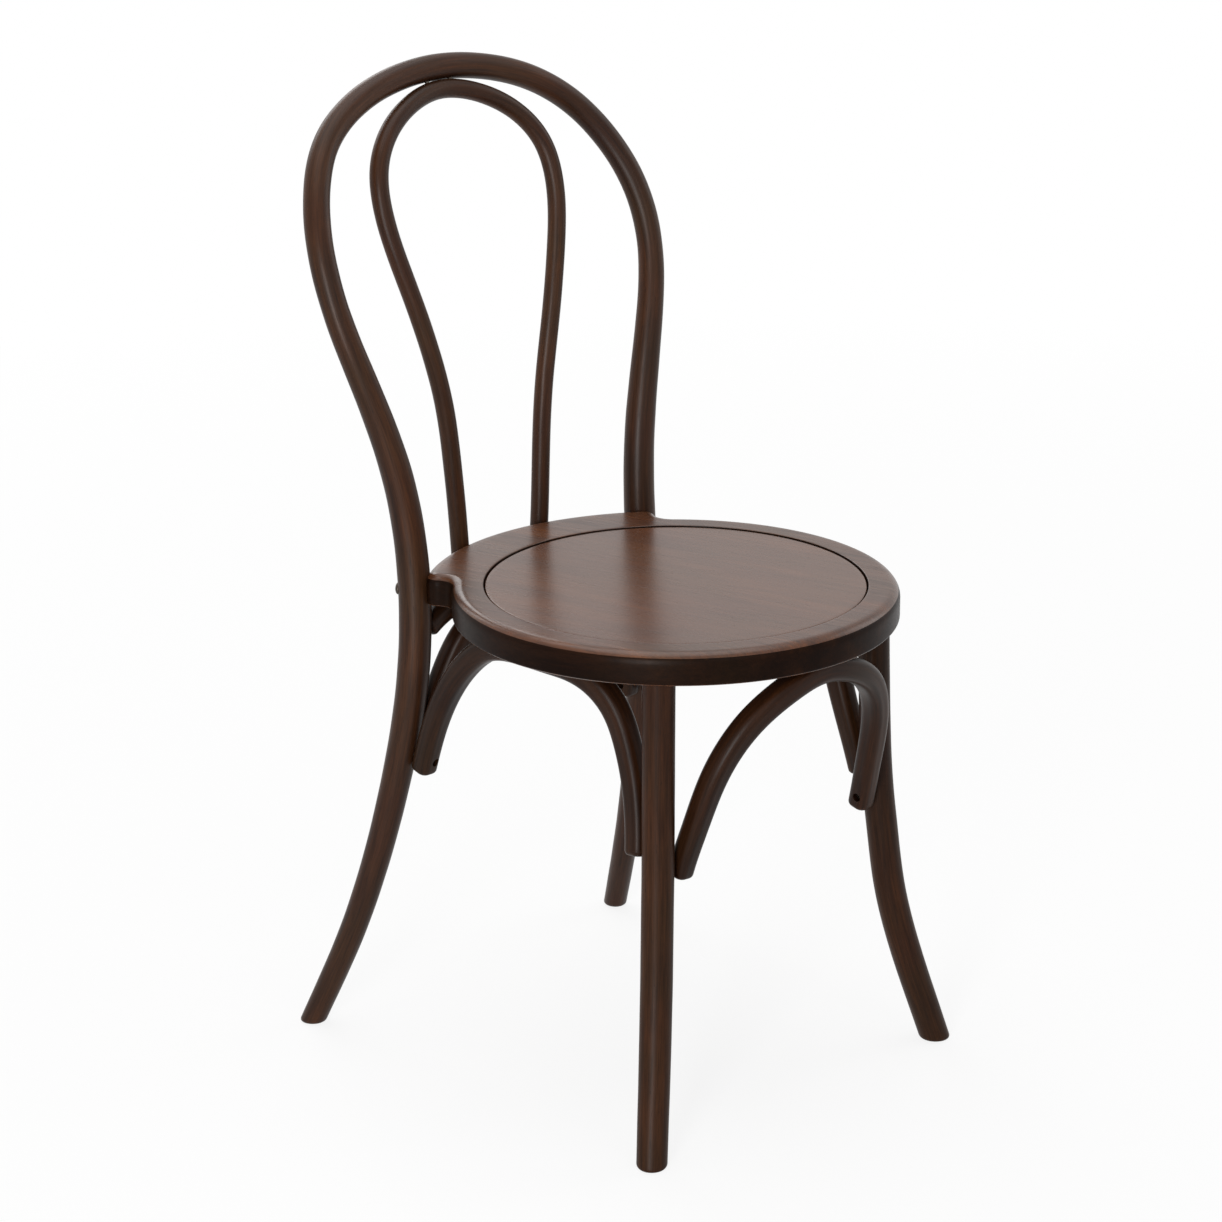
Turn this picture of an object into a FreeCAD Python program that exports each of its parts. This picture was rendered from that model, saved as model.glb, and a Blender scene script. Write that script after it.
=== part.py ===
import FreeCAD, Part
import math
import os

# Bentwood bistro chair with a round wooden seat, arched leg braces and a double looped back.
# Millimetres. While it is drawn, the seat's centre stands over X = Y = 0 and the floor is Z = 0.
# The front looks along -Y. At the end the whole chair is centred on its own bounding box.

Vector = FreeCAD.Vector

# Seat
SEAT_HEIGHT = 455.0
SEAT_THICKNESS = 29.0
SEAT_RADIUS = 200.0
SEAT_TOP_ROUNDING = 10.0
SEAT_BOTTOM_ROUNDING = 3.0
SEAT_UNDERSIDE = SEAT_HEIGHT - SEAT_THICKNESS
SEAT_MIDDLE = SEAT_HEIGHT - SEAT_THICKNESS / 2
REAR_EDGE_RADIUS = 227.0
EAR_HALF_WIDTH = 12.5
EAR_CORNER_RADIUS = 12.0
EAR_THROAT_RADIUS = 16.0
PANEL_RADIUS = 171.5
PANEL_GAP = 0.3
PANEL_THICKNESS = 11.0
PANEL_RECESS = 1.0
PANEL_EDGE_ROUNDING = 0.8
OPENING_RADIUS = 135.0

# Back frame: one rod from foot to foot, right half from the floor to the crown as (place, diameter)
BACK_ROD = [
    ((201, 283, 0), 23.0),
    ((182.5, 247, 91), 24.5),
    ((168, 219.5, 182), 26.0),
    ((156, 200.5, 272), 28.0),
    ((148, 188, 363), 30.0),
    ((144, 190, 454), 30.0),
    ((154, 198, 545), 28.5),
    ((180, 212, 636), 25.5),
    ((195, 227, 696), 24.2),
    ((193, 250, 757), 24.2),
    ((176, 271, 799), 24.2),
    ((151, 287.5, 830), 24.2),
    ((110, 300, 856), 24.2),
    ((58, 308, 872), 24.2),
    ((0, 311, 877.8), 24.2),
]

# Inner hoop: right half from the seat's rear edge to the top
INNER_ROD = [
    ((48.5, 230.8, 424), 17.6),
    ((52, 230.8, 470), 17.4),
    ((56, 232.5, 525), 17.4),
    ((63, 235, 585), 17.4),
    ((77, 240, 645), 17.4),
    ((94, 250, 706), 17.4),
    ((105.5, 264, 766), 17.4),
    ((100.5, 274.5, 801), 17.6),
    ((79, 286, 830), 17.8),
    ((46, 295.5, 849.5), 17.8),
    ((0, 301.5, 859), 17.8),
]

# Front leg, bent in an upright plane through the seat's centre: (distance out, height), diameter
FRONT_LEG_ANGLE = -39.9
FRONT_LEG = [
    ((245, 0), 27.5),
    ((215, 91), 28.5),
    ((199.5, 151), 28.8),
    ((191, 210), 28.8),
    ((185, 265), 28.8),
    ((181, 345), 28.8),
    ((179, SEAT_UNDERSIDE), 28.8),
]
TENON_DIAMETER = 20.0
TENON_LENGTH = 15.0

# Braces: square rods with well rounded corners, thickest where they bear on the seat
BRACE_THICKNESS = 24.0
BRACE_END_THICKNESS = 22.0
BRACE_CORNER = 8.0
BRACE_END_ROUNDING = 5.0
BRACE_TAPER_DROP = 140.0
BRACE_TOP = SEAT_UNDERSIDE - BRACE_THICKNESS / 2
FRONT_BRACE = [
    (119.5, -115.5, 242),
    (116, -125, 262),
    (112, -134.5, 291),
    (101.5, -150, 342),
    (75, -164.5, 384),
    (36, -173, 407),
    (0, -174.5, BRACE_TOP),
]
REAR_BRACE = [
    (133, 188, 399),
    (118, 189.5, 406),
    (92, 193, 412.5),
    (50, 198.5, BRACE_TOP),
    (0, 200, BRACE_TOP),
]
SIDE_BRACE = [
    (151, 179, 263),
    (152.5, 170, 288),
    (155.5, 142, 346),
    (157.5, 122, 388),
    (158, 102, 408),
    (155.5, 78, BRACE_TOP),
    (149, 25, BRACE_TOP),
    (143, -15, BRACE_TOP),
    (139.5, -40, 406),
    (136, -58, 388),
    (133.5, -71, 359),
    (134.5, -81.5, 329),
    (138, -88, 299),
    (144, -94.5, 262),
]

# Ends of the rods
FOOT_ROUNDING = 3.5
FOOT_MARGIN = 0.4
ROD_OVERRUN = 12.0

# Frame bolts with barrel nuts
BOLT_DIAMETER = 6.0
BOLT_HEAD_DIAMETER = 15.5
BOLT_HEAD_HEIGHT = 3.2
BOLT_HEAD_SEAT = 14.2
BOLT_LENGTH = 75.0
NUT_DIAMETER = 10.0
NUT_LENGTH = 16.0
NUT_RADIUS_ON_SEAT = 186.0

# Wood screws: head diameter, head height, shank diameter
SCREW_HEAD = 8.0
SCREW_HEAD_HEIGHT = 3.0
SCREW_SHANK = 4.2
SCREW_POINT = 6.0
SCREW_SINK = 6.0
END_SCREW_RISE = 13.0
END_SCREW_LENGTH = 34.0
SEAT_SCREW_LENGTH = 32.0
SEAT_SCREW_SINK = 8.0
HOOP_TOP_SCREW_X = 14.0
HOOP_TOP_SCREW_LENGTH = 30.0
HOOP_FOOT_SCREW_LENGTH = 42.0
WELL_CLEARANCE = 6.0

# Where the seat screws stand, as shares of each brace's length
FRONT_SCREW_SHARES = (0.44, 0.56)
REAR_SCREW_SHARES = (0.3, 0.7)
SIDE_SCREW_SHARES = (0.44, 0.54)

FAR = 1200.0
SECTIONS_PER_SPAN = 2
SECTION_EDGES = 8
TOUCH = 0.01


def mirrored(half):
    """The right half's places, foot to middle, continued down the left side."""
    left = [(-x, y, z) for x, y, z in half[:-1]]
    return half + left[::-1]


def smooth_curve(places):
    """A smooth curve through the places, and its parameter at each of them."""
    points = [Vector(*place) for place in places]
    lengths = [0.0]
    for before, after in zip(points, points[1:]):
        lengths.append(lengths[-1] + before.distanceToPoint(after))
    curve = Part.BSplineCurve()
    curve.interpolate(Points=points, Parameters=lengths)
    return curve, lengths


def stations(lengths, sizes):
    """Parameters along a curve with a size at each, a few to every span."""
    result = []
    for i in range(len(lengths) - 1):
        for k in range(SECTIONS_PER_SPAN):
            share = k / SECTIONS_PER_SPAN
            place = lengths[i] + share * (lengths[i + 1] - lengths[i])
            size = sizes[i] + share * (sizes[i + 1] - sizes[i])
            result.append((place, size))
    result.append((lengths[-1], sizes[-1]))
    return result


def frame_at(point, tangent, side):
    """A placement at the point, Z along the tangent and X as near the side direction as it can be."""
    across = side - tangent * side.dot(tangent)
    rotation = FreeCAD.Rotation(across, Vector(), tangent, "ZXY")
    return FreeCAD.Placement(point, rotation)


def circle_wire(diameter):
    return Part.Wire(Part.Circle(Vector(), Vector(0, 0, 1), diameter / 2).toShape())


def square_wire(thickness):
    """A square with round corners, its edges in one order from the middle of the +X side."""
    half = thickness / 2
    inner = half - BRACE_CORNER
    edges = []
    for turn in range(4):
        start = Vector(half, -inner, 0)
        end = Vector(half, inner, 0)
        reach = inner + BRACE_CORNER * math.cos(math.radians(45))
        bulge = Vector(reach, reach, 0)
        corner_end = Vector(inner, half, 0)
        pair = [Part.LineSegment(start, end).toShape(), Part.Arc(end, bulge, corner_end).toShape()]
        for edge in pair:
            edge.rotate(Vector(), Vector(0, 0, 1), 90 * turn)
            edges.append(edge)
    return Part.Wire(edges)


def lofted(curve, places_and_sizes, section, side_of):
    """One solid through sections set square to the curve."""
    wires = []
    for parameter, size in places_and_sizes:
        point = curve.value(parameter)
        tangent = curve.tangent(parameter)[0]
        wire = section(size)
        wire.Placement = frame_at(point, tangent, side_of(point))
        wires.append(wire)
    return Part.makeLoft(wires, True, False)


def backward(point):
    return Vector(0, 1, 0)


def sideways(point):
    return Vector(1, 0, 0)


def outward(point):
    return Vector(point.x, point.y, 0).normalize()


def floor_overrun(places, distance):
    """The same places with one more past the first, straight on below the floor."""
    first = Vector(*places[0])
    second = Vector(*places[1])
    beyond = first + (first - second).normalize() * distance
    return [(beyond.x, beyond.y, beyond.z)] + places


def above(height):
    return Part.makeBox(2 * FAR, 2 * FAR, FAR, Vector(-FAR, -FAR, height))


def rounded_foot(leg, place, higher, diameter):
    """The leg cut level with the floor, its lower edge eased."""
    sole = Vector(*place)
    rise = (Vector(*higher) - sole).normalize()
    start = sole - rise * ROD_OVERRUN
    last = Part.makeCylinder(diameter / 2 + FOOT_MARGIN, 3 * ROD_OVERRUN, start, rise).common(above(0))
    last = last.makeFillet(FOOT_ROUNDING, [edge for edge in last.Edges if edge.BoundBox.ZMax < FOOT_MARGIN])
    corner = Vector(sole.x - diameter, sole.y - diameter, 0)
    skirt = Part.makeBox(2 * diameter, 2 * diameter, 2 * FOOT_ROUNDING, corner).cut(last)
    return single(leg.common(above(0)).cut(skirt))


def single(shape):
    """The one solid in a shape, after a cut."""
    solids = sorted(shape.Solids, key=lambda solid: solid.Volume)
    return solids[-1]


def radial_direction(place):
    return Vector(place[0], place[1], 0).normalize()


def make_back_half():
    """The right half of the back frame's rod, from its foot to the crown on the middle plane."""
    half = [place for place, diameter in BACK_ROD]
    sizes = [diameter for place, diameter in BACK_ROD]
    places = floor_overrun(mirrored(half), ROD_OVERRUN)
    curve, lengths = smooth_curve(places)
    count = len(half) + 1
    sections = stations(lengths[:count], [sizes[0]] + sizes)
    rod = lofted(curve, sections, circle_wire, backward)
    return rounded_foot(rod, places[1], places[2], sizes[0])


def make_inner_rod():
    half = [place for place, diameter in INNER_ROD]
    sizes = [diameter for place, diameter in INNER_ROD]
    curve, lengths = smooth_curve(mirrored(half))
    return lofted(curve, stations(lengths, sizes + sizes[-2::-1]), circle_wire, backward)


def front_leg_place(distance, height):
    angle = math.radians(FRONT_LEG_ANGLE)
    return (distance * math.cos(angle), distance * math.sin(angle), height)


def make_front_leg():
    """The right front leg with its round tenon."""
    places = [front_leg_place(distance, height) for (distance, height), diameter in FRONT_LEG]
    sizes = [diameter for place, diameter in FRONT_LEG]
    top = places[-1]
    places = floor_overrun(places, ROD_OVERRUN) + [(top[0], top[1], top[2] + ROD_OVERRUN)]
    sizes = [sizes[0]] + sizes + [sizes[-1]]
    curve, lengths = smooth_curve(places)
    rod = lofted(curve, stations(lengths, sizes), circle_wire, outward)
    leg = rounded_foot(rod, places[1], places[2], sizes[0]).cut(above(SEAT_UNDERSIDE))
    tenon = Part.makeCylinder(TENON_DIAMETER / 2, TENON_LENGTH, Vector(*top))
    return single(leg.fuse(tenon))


def make_brace(places, side_of):
    """A bent brace along the places, square to its side, eased at its ends and planed under the seat."""
    curve, lengths = smooth_curve(places)
    sizes = [brace_size(place) for place in places]
    rod = lofted(curve, stations(lengths, sizes), square_wire, side_of)
    edges = []
    for face in rod.Faces:
        if face.Surface.TypeId == "Part::GeomPlane" and len(face.Edges) == SECTION_EDGES:
            edges += face.Edges
    rod = rod.makeFillet(BRACE_END_ROUNDING, edges)
    return single(rod.cut(above(SEAT_UNDERSIDE)))


def brace_size(place):
    """Thickness by height: full under the seat, slimmer down at the legs."""
    drop = min(1.0, (BRACE_TOP - place[2]) / BRACE_TAPER_DROP)
    return BRACE_THICKNESS - drop * (BRACE_THICKNESS - BRACE_END_THICKNESS)


def leg_seat_place():
    """The middle of the right rear leg at the seat's mid height."""
    half = [place for place, diameter in BACK_ROD]
    curve, lengths = smooth_curve(mirrored(half))
    low = lengths[0]
    high = lengths[len(half) - 1]
    for step in range(40):
        middle = (low + high) / 2
        if curve.value(middle).z < SEAT_MIDDLE:
            low = middle
        else:
            high = middle
    return curve.value(middle)


def seat_outline():
    """The seat's edge: a round front, two ears that reach the rear legs, and an arc between them."""
    leg = leg_seat_place()
    along = radial_direction(leg)
    aside = Vector(along.y, -along.x, 0)
    throat = along * math.sqrt(SEAT_RADIUS ** 2 - EAR_HALF_WIDTH ** 2) + aside * EAR_HALF_WIDTH
    tip = along * math.sqrt(REAR_EDGE_RADIUS ** 2 - EAR_HALF_WIDTH ** 2) + aside * EAR_HALF_WIDTH
    left_throat = Vector(-throat.x, throat.y, 0)
    left_tip = Vector(-tip.x, tip.y, 0)
    edges = [
        Part.Arc(tip, Vector(0, REAR_EDGE_RADIUS, 0), left_tip).toShape(),
        Part.LineSegment(left_tip, left_throat).toShape(),
        Part.Arc(left_throat, Vector(0, -SEAT_RADIUS, 0), throat).toShape(),
        Part.LineSegment(throat, tip).toShape(),
    ]
    return Part.Wire(edges), [throat, left_throat], [tip, left_tip]


def upright_edges(shape, corners):
    """The vertical edges that stand at the given corners."""
    found = []
    for edge in shape.Edges:
        first, last = edge.Vertexes[0].Point, edge.Vertexes[-1].Point
        if abs(first.x - last.x) + abs(first.y - last.y) > TOUCH:
            continue
        if any(math.hypot(first.x - c.x, first.y - c.y) < TOUCH for c in corners):
            found.append(edge)
    return found


def edges_at(shape, height):
    """The edges that lie level at the given height."""
    found = []
    for edge in shape.Edges:
        if edge.BoundBox.ZMin > height - TOUCH and edge.BoundBox.ZMax < height + TOUCH:
            found.append(edge)
    return found


def make_seat_ring():
    wire, throats, tips = seat_outline()
    wire.translate(Vector(0, 0, SEAT_UNDERSIDE))
    block = Part.Face(wire).extrude(Vector(0, 0, SEAT_THICKNESS))
    block = block.makeFillet(EAR_THROAT_RADIUS, upright_edges(block, throats))
    block = block.makeFillet(EAR_CORNER_RADIUS, upright_edges(block, tips))
    block = block.makeFillet(SEAT_TOP_ROUNDING, edges_at(block, SEAT_HEIGHT))
    block = block.makeFillet(SEAT_BOTTOM_ROUNDING, edges_at(block, SEAT_UNDERSIDE))
    opening = Part.makeCylinder(OPENING_RADIUS, SEAT_THICKNESS, Vector(0, 0, SEAT_UNDERSIDE))
    rebate_depth = PANEL_THICKNESS + PANEL_RECESS
    rebate = Part.makeCylinder(PANEL_RADIUS, rebate_depth, Vector(0, 0, SEAT_HEIGHT - rebate_depth))
    return block.cut(opening).cut(rebate)


def make_seat_panel():
    base = SEAT_HEIGHT - PANEL_RECESS - PANEL_THICKNESS
    disc = Part.makeCylinder(PANEL_RADIUS - PANEL_GAP, PANEL_THICKNESS, Vector(0, 0, base))
    return disc.makeFillet(PANEL_EDGE_ROUNDING, edges_at(disc, base + PANEL_THICKNESS))


def make_screw(head_centre, direction, length):
    """A pan head and a pointed plain shank, driven along the direction from the head's outer face."""
    head = Part.makeCylinder(SCREW_HEAD / 2, SCREW_HEAD_HEIGHT, head_centre, direction)
    shank_length = length - SCREW_HEAD_HEIGHT - SCREW_POINT
    shank_start = head_centre + direction * SCREW_HEAD_HEIGHT
    shank = Part.makeCylinder(SCREW_SHANK / 2, shank_length, shank_start, direction)
    point_start = shank_start + direction * shank_length
    point = Part.makeCone(SCREW_SHANK / 2, 0.5, SCREW_POINT, point_start, direction)
    return head.fuse(shank).fuse(point).removeSplitter()


def screw_well(head_centre, direction, depth):
    """The round well that lets a screw's head sink below the wood's face."""
    return Part.makeCylinder(SCREW_HEAD / 2, depth, head_centre - direction * depth, direction)


def make_frame_bolt(leg):
    """A domed bolt through the rear leg into the ear, pointing at the seat's centre."""
    inward = radial_direction(leg) * -1
    head_seat = leg - inward * BOLT_HEAD_SEAT
    shank = Part.makeCylinder(BOLT_DIAMETER / 2, BOLT_LENGTH, head_seat, inward)
    half = BOLT_HEAD_DIAMETER / 2
    sphere_radius = (half ** 2 + BOLT_HEAD_HEIGHT ** 2) / (2 * BOLT_HEAD_HEIGHT)
    sphere_centre = head_seat + inward * (sphere_radius - BOLT_HEAD_HEIGHT)
    dome = Part.makeSphere(sphere_radius, sphere_centre)
    blank = Part.makeCylinder(half, BOLT_HEAD_HEIGHT, head_seat, inward * -1)
    return dome.common(blank).fuse(shank).removeSplitter()


def make_barrel_nut(leg):
    centre = radial_direction(leg) * NUT_RADIUS_ON_SEAT
    base = Vector(centre.x, centre.y, leg.z - NUT_LENGTH / 2)
    return Part.makeCylinder(NUT_DIAMETER / 2, NUT_LENGTH, base)


def nut_well(leg):
    """The bore from the seat's underside that takes the barrel nut."""
    centre = radial_direction(leg) * NUT_RADIUS_ON_SEAT
    depth = leg.z + NUT_LENGTH / 2 - SEAT_UNDERSIDE
    return Part.makeCylinder(NUT_DIAMETER / 2, depth, Vector(centre.x, centre.y, SEAT_UNDERSIDE))


def flipped(shape):
    """The same shape on the other side of the chair."""
    return shape.mirror(Vector(), Vector(1, 0, 0))


def end_screws(places, legs):
    """One screw at each end of a brace, from its hollow side into the leg that it stands against."""
    curve, lengths = smooth_curve(places)
    found = []
    for start, leg_curve, forward in ((lengths[0], legs[0], 1), (lengths[-1], legs[1], -1)):
        parameter = start + forward * END_SCREW_RISE
        point = curve.value(parameter)
        target = nearest_on(leg_curve, point)
        direction = (target - point).normalize()
        inset = brace_size((point.x, point.y, point.z)) / 2 - SCREW_SINK
        found.append((point - direction * inset, direction))
    return found


def nearest_on(curve, point):
    return curve.value(curve.parameter(point))


def seat_screws(places, shares):
    """Screws that hold a brace up to the seat ring, driven straight up at shares of its length."""
    curve, lengths = smooth_curve(places)
    found = []
    for share in shares:
        point = curve.value(share * lengths[-1])
        head = Vector(point.x, point.y, point.z - BRACE_THICKNESS / 2 + SEAT_SCREW_SINK)
        found.append((head, Vector(0, 0, 1)))
    return found


def centre_line(places):
    return smooth_curve(places)[0]


def group(solids):
    return Part.makeCompound(solids)


def cut_all(shape, tools):
    result = shape
    for tool in tools:
        result = result.cut(tool)
    return single(result)


def build():
    """Every node of the chair by name, in the drawing frame."""
    back_half = make_back_half()
    inner = make_inner_rod()
    ring = make_seat_ring()
    panel = make_seat_panel()
    right_leg = make_front_leg()
    left_leg = flipped(right_leg)
    front_places = mirrored(FRONT_BRACE)
    rear_places = mirrored(REAR_BRACE)
    left_side_places = [(-x, y, z) for x, y, z in SIDE_BRACE]
    front_brace = make_brace(front_places, backward)
    rear_brace = make_brace(rear_places, backward)
    right_brace = make_brace(SIDE_BRACE, sideways)
    left_brace = flipped(right_brace)

    # Fasteners, as (head centre, direction) and as solids
    back_right = centre_line([place for place, diameter in BACK_ROD])
    back_left = centre_line([(-x, y, z) for (x, y, z), diameter in BACK_ROD])
    front_leg_places = [front_leg_place(*place) for place, diameter in FRONT_LEG]
    front_right = centre_line(front_leg_places)
    front_left = centre_line([(-x, y, z) for x, y, z in front_leg_places])
    ends = end_screws(front_places, (front_right, front_left))
    ends += end_screws(rear_places, (back_right, back_left))
    ends += end_screws(SIDE_BRACE, (back_right, front_right))
    ends += end_screws(left_side_places, (back_left, front_left))
    tops = seat_screws(front_places, FRONT_SCREW_SHARES)
    tops += seat_screws(rear_places, REAR_SCREW_SHARES)
    tops += seat_screws(SIDE_BRACE, SIDE_SCREW_SHARES)
    tops += seat_screws(left_side_places, SIDE_SCREW_SHARES)
    end_solids = [make_screw(head, direction, END_SCREW_LENGTH) for head, direction in ends]
    top_solids = [make_screw(head, direction, SEAT_SCREW_LENGTH) for head, direction in tops]
    wells = [screw_well(head, direction, SCREW_SINK + WELL_CLEARANCE) for head, direction in ends]
    wells += [screw_well(head, direction, SEAT_SCREW_SINK + WELL_CLEARANCE) for head, direction in tops]

    leg_seat = leg_seat_place()
    right_bolt = make_frame_bolt(leg_seat)
    right_nut = make_barrel_nut(leg_seat).cut(right_bolt)
    bolts = [right_bolt, flipped(right_bolt)]
    nuts = [right_nut, flipped(right_nut)]
    nut_wells = [nut_well(leg_seat), flipped(nut_well(leg_seat))]

    outer_top = Vector(*BACK_ROD[-1][0])
    inner_top = Vector(*INNER_ROD[-1][0])
    lift = (outer_top - inner_top).normalize()
    inner_half = INNER_ROD[-1][1] / 2
    hoop_screws = []
    for side in (-1, 1):
        head = inner_top + Vector(side * HOOP_TOP_SCREW_X, 0, 0) - lift * inner_half
        hoop_screws.append(make_screw(head, lift, HOOP_TOP_SCREW_LENGTH))
    foot_screws = []
    foot = Vector(*INNER_ROD[0][0])
    for side in (-1, 1):
        foot_centre = Vector(side * foot.x, foot.y, SEAT_MIDDLE)
        inward = radial_direction(foot_centre) * -1
        head = foot_centre - inward * (INNER_ROD[0][1] / 2 - 0.5)
        foot_screws.append(make_screw(head, inward, HOOP_FOOT_SCREW_LENGTH))

    # Seat the pieces on each other, then bore them for what fastens them
    back_half = cut_all(back_half, [ring] + end_solids + hoop_screws + [right_bolt])
    back = single(back_half.fuse(flipped(back_half)))
    front_brace = front_brace.cut(left_leg).cut(right_leg)
    rear_brace = rear_brace.cut(back)
    left_brace = left_brace.cut(left_leg).cut(back)
    right_brace = right_brace.cut(right_leg).cut(back)
    ring = ring.cut(left_leg).cut(right_leg)
    through = end_solids + top_solids + hoop_screws + foot_screws + bolts
    nodes = {
        "back_frame": back,
        "inner_hoop": cut_all(inner, hoop_screws + foot_screws),
        "seat_ring": cut_all(ring, top_solids + foot_screws + bolts + nut_wells),
        "seat_panel": panel,
        "front_leg_left": cut_all(left_leg, end_solids),
        "front_leg_right": cut_all(right_leg, end_solids),
        "front_brace": cut_all(front_brace, through + wells),
        "rear_brace": cut_all(rear_brace, through + wells),
        "side_brace_left": cut_all(left_brace, through + wells),
        "side_brace_right": cut_all(right_brace, through + wells),
        "frame_bolts": group(bolts),
        "frame_bolt_nuts": group(nuts),
        "brace_end_screws": group(end_solids),
        "brace_seat_screws": group(top_solids),
        "hoop_top_screws": group(hoop_screws),
        "hoop_foot_screws": group(foot_screws),
    }
    return nodes


def centred(nodes):
    """Every node moved so that the whole chair's bounding box is centred on X = Y = 0."""
    whole = Part.makeCompound(list(nodes.values())).optimalBoundingBox(False)
    shift = Vector(-(whole.XMin + whole.XMax) / 2, -(whole.YMin + whole.YMax) / 2, 0)
    for shape in nodes.values():
        shape.translate(shift)
    return nodes


os.makedirs("parts", exist_ok=True)
for name, shape in centred(build()).items():
    print(name, shape.isValid(), len(shape.Solids), round(shape.Volume / 1000, 2))
    shape.exportStep("parts/" + name + ".step")
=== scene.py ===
import math

import bmesh
import bpy
import numpy as np
from mathutils import Matrix, Vector


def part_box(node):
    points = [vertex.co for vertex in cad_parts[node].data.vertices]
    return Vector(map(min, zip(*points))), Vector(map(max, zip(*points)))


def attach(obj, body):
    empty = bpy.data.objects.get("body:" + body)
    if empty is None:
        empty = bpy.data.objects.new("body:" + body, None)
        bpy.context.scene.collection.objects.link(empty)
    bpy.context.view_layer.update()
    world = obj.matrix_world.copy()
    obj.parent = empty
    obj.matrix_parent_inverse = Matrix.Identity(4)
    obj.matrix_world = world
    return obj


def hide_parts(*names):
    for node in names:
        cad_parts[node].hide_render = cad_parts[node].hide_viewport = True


# Looks of a bentwood bistro chair: dark stained, satin lacquered wood on smooth steam-bent rods.
# The scene is in metres. Sizes below are in millimetres, in the drawing frame, where the seat's centre
# stands over X = Y = 0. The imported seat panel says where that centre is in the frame.

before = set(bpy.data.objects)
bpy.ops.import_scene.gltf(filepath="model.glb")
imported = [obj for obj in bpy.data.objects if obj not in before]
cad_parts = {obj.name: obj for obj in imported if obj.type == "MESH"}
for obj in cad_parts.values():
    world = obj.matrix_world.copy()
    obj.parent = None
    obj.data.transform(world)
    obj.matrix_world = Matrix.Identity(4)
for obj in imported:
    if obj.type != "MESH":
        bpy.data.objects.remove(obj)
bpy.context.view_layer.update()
MM = 0.001
PANEL_LOW, PANEL_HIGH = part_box("seat_panel")
SEAT_CENTRE = np.array([(PANEL_LOW.x + PANEL_HIGH.x) / 2, (PANEL_LOW.y + PANEL_HIGH.y) / 2, 0.0])

# Camera: angles in degrees, distance and target in metres, lens and sensor in millimetres
CAMERA_AZIMUTH = -44.483
CAMERA_ELEVATION = 18.327
CAMERA_ROLL = -0.188
CAMERA_DISTANCE = 3.1993
CAMERA_TARGET = (-0.0811, -0.0616, 0.4464)
CAMERA_LENS = 107.34
CAMERA_SENSOR = 36.0

# Floor and sky: lengths in metres, brightness as shares of white
FLOOR_RADIUS = 3.0
FLOOR_SIDES = 96
FLOOR_COLOUR = (0.9, 0.9, 0.9)
FLOOR_ROUGHNESS = 0.9
FLOOR_SHADOW_REACH = 0.5
FLOOR_FADE_END = 0.95
FLOOR_WHITENESS = 0.84
SKY_LIGHT = 0.32

# Lamps: name, place, size, watts and the place that each points at
SEAT_AIM = (0.0, 0.0, 0.4)
BACK_AIM = (0.0, 0.0, 0.6)
LAMPS = [
    ("overhead", (0.1, 0.3, 3.2), (2.6, 2.6), 46.0, SEAT_AIM),
    ("front_left", (-2.59, -1.52, 0.95), (0.62, 1.9), 62.0, BACK_AIM),
    ("front_right", (-0.7, -2.8, 1.9), (0.9, 1.3), 5.0, SEAT_AIM),
    ("right", (2.7, -0.9, 1.9), (1.4, 1.6), 12.0, SEAT_AIM),
    ("rear", (0.8, 3.0, 2.2), (2.4, 1.4), 28.0, SEAT_AIM),
]

# Seat
SEAT_HEIGHT = 455.0
SEAT_UNDERSIDE = 426.0
SEAT_RADIUS = 200.0
SEAT_TOP_ROUNDING = 10.0
SEAT_BOTTOM_ROUNDING = 3.0
REAR_EDGE_RADIUS = 227.0
EAR_DIRECTION = 52.6
EAR_HALF_WIDTH = 12.5
EAR_CORNER_RADIUS = 12.0
EAR_THROAT_RADIUS = 16.0
REBATE_RADIUS = 171.5
REBATE_FLOOR = 443.0
REBATE_EDGE_ROUNDING = 1.1
OPENING_RADIUS = 135.0
PANEL_RADIUS = 170.3
PANEL_TOP = 454.0
PANEL_EDGE_ROUNDING = 1.5

# Upright parts of the ring are those whose normals rise less than this; they get painted shade
PAINTED_SHADE_SLOPE = 0.62

# Fineness of the seat's meshes
SEAT_CREASE = 30.0
MAIN_EDGE_POINTS = 122
EAR_ARC_POINTS = 14
REAR_EDGE_POINTS = 44
EDGE_STEPS = 8
RING_WALL_SHARES = (0.25, 0.5, 0.75)
RING_TOP_SHARES = (0.15, 0.4, 0.7, 0.92)
PANEL_SIDES = 288
PANEL_EDGE_STEPS = 6
PANEL_LOWER_RINGS = (20.0, 80.0, 140.0)
PANEL_UPPER_RINGS = (165.0, 130.0, 90.0, 50.0, 20.0)

# Slant of the grain on the ring and the panel, in degrees from front to back
SEAT_GRAIN_ANGLE = 14.0

# Back frame, right half from the floor to the crown: place, diameter
BACK_ROD = [
    ((201, 283, 0), 23.0),
    ((182.5, 247, 91), 24.5),
    ((168, 219.5, 182), 26.0),
    ((156, 200.5, 272), 28.0),
    ((148, 188, 363), 30.0),
    ((144, 190, 454), 30.0),
    ((154, 198, 545), 28.5),
    ((180, 212, 636), 25.5),
    ((195, 227, 696), 24.2),
    ((193, 250, 757), 24.2),
    ((176, 271, 799), 24.2),
    ((151, 287.5, 830), 24.2),
    ((110, 300, 856), 24.2),
    ((58, 308, 872), 24.2),
    ((0, 311, 877.8), 24.2),
]

# Inner hoop, right half from the seat's rear edge to the top
INNER_ROD = [
    ((48.5, 230.8, 424), 17.6),
    ((52, 230.8, 470), 17.4),
    ((56, 232.5, 525), 17.4),
    ((63, 235, 585), 17.4),
    ((77, 240, 645), 17.4),
    ((94, 250, 706), 17.4),
    ((105.5, 264, 766), 17.4),
    ((100.5, 274.5, 801), 17.6),
    ((79, 286, 830), 17.8),
    ((46, 295.5, 849.5), 17.8),
    ((0, 301.5, 859), 17.8),
]

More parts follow.
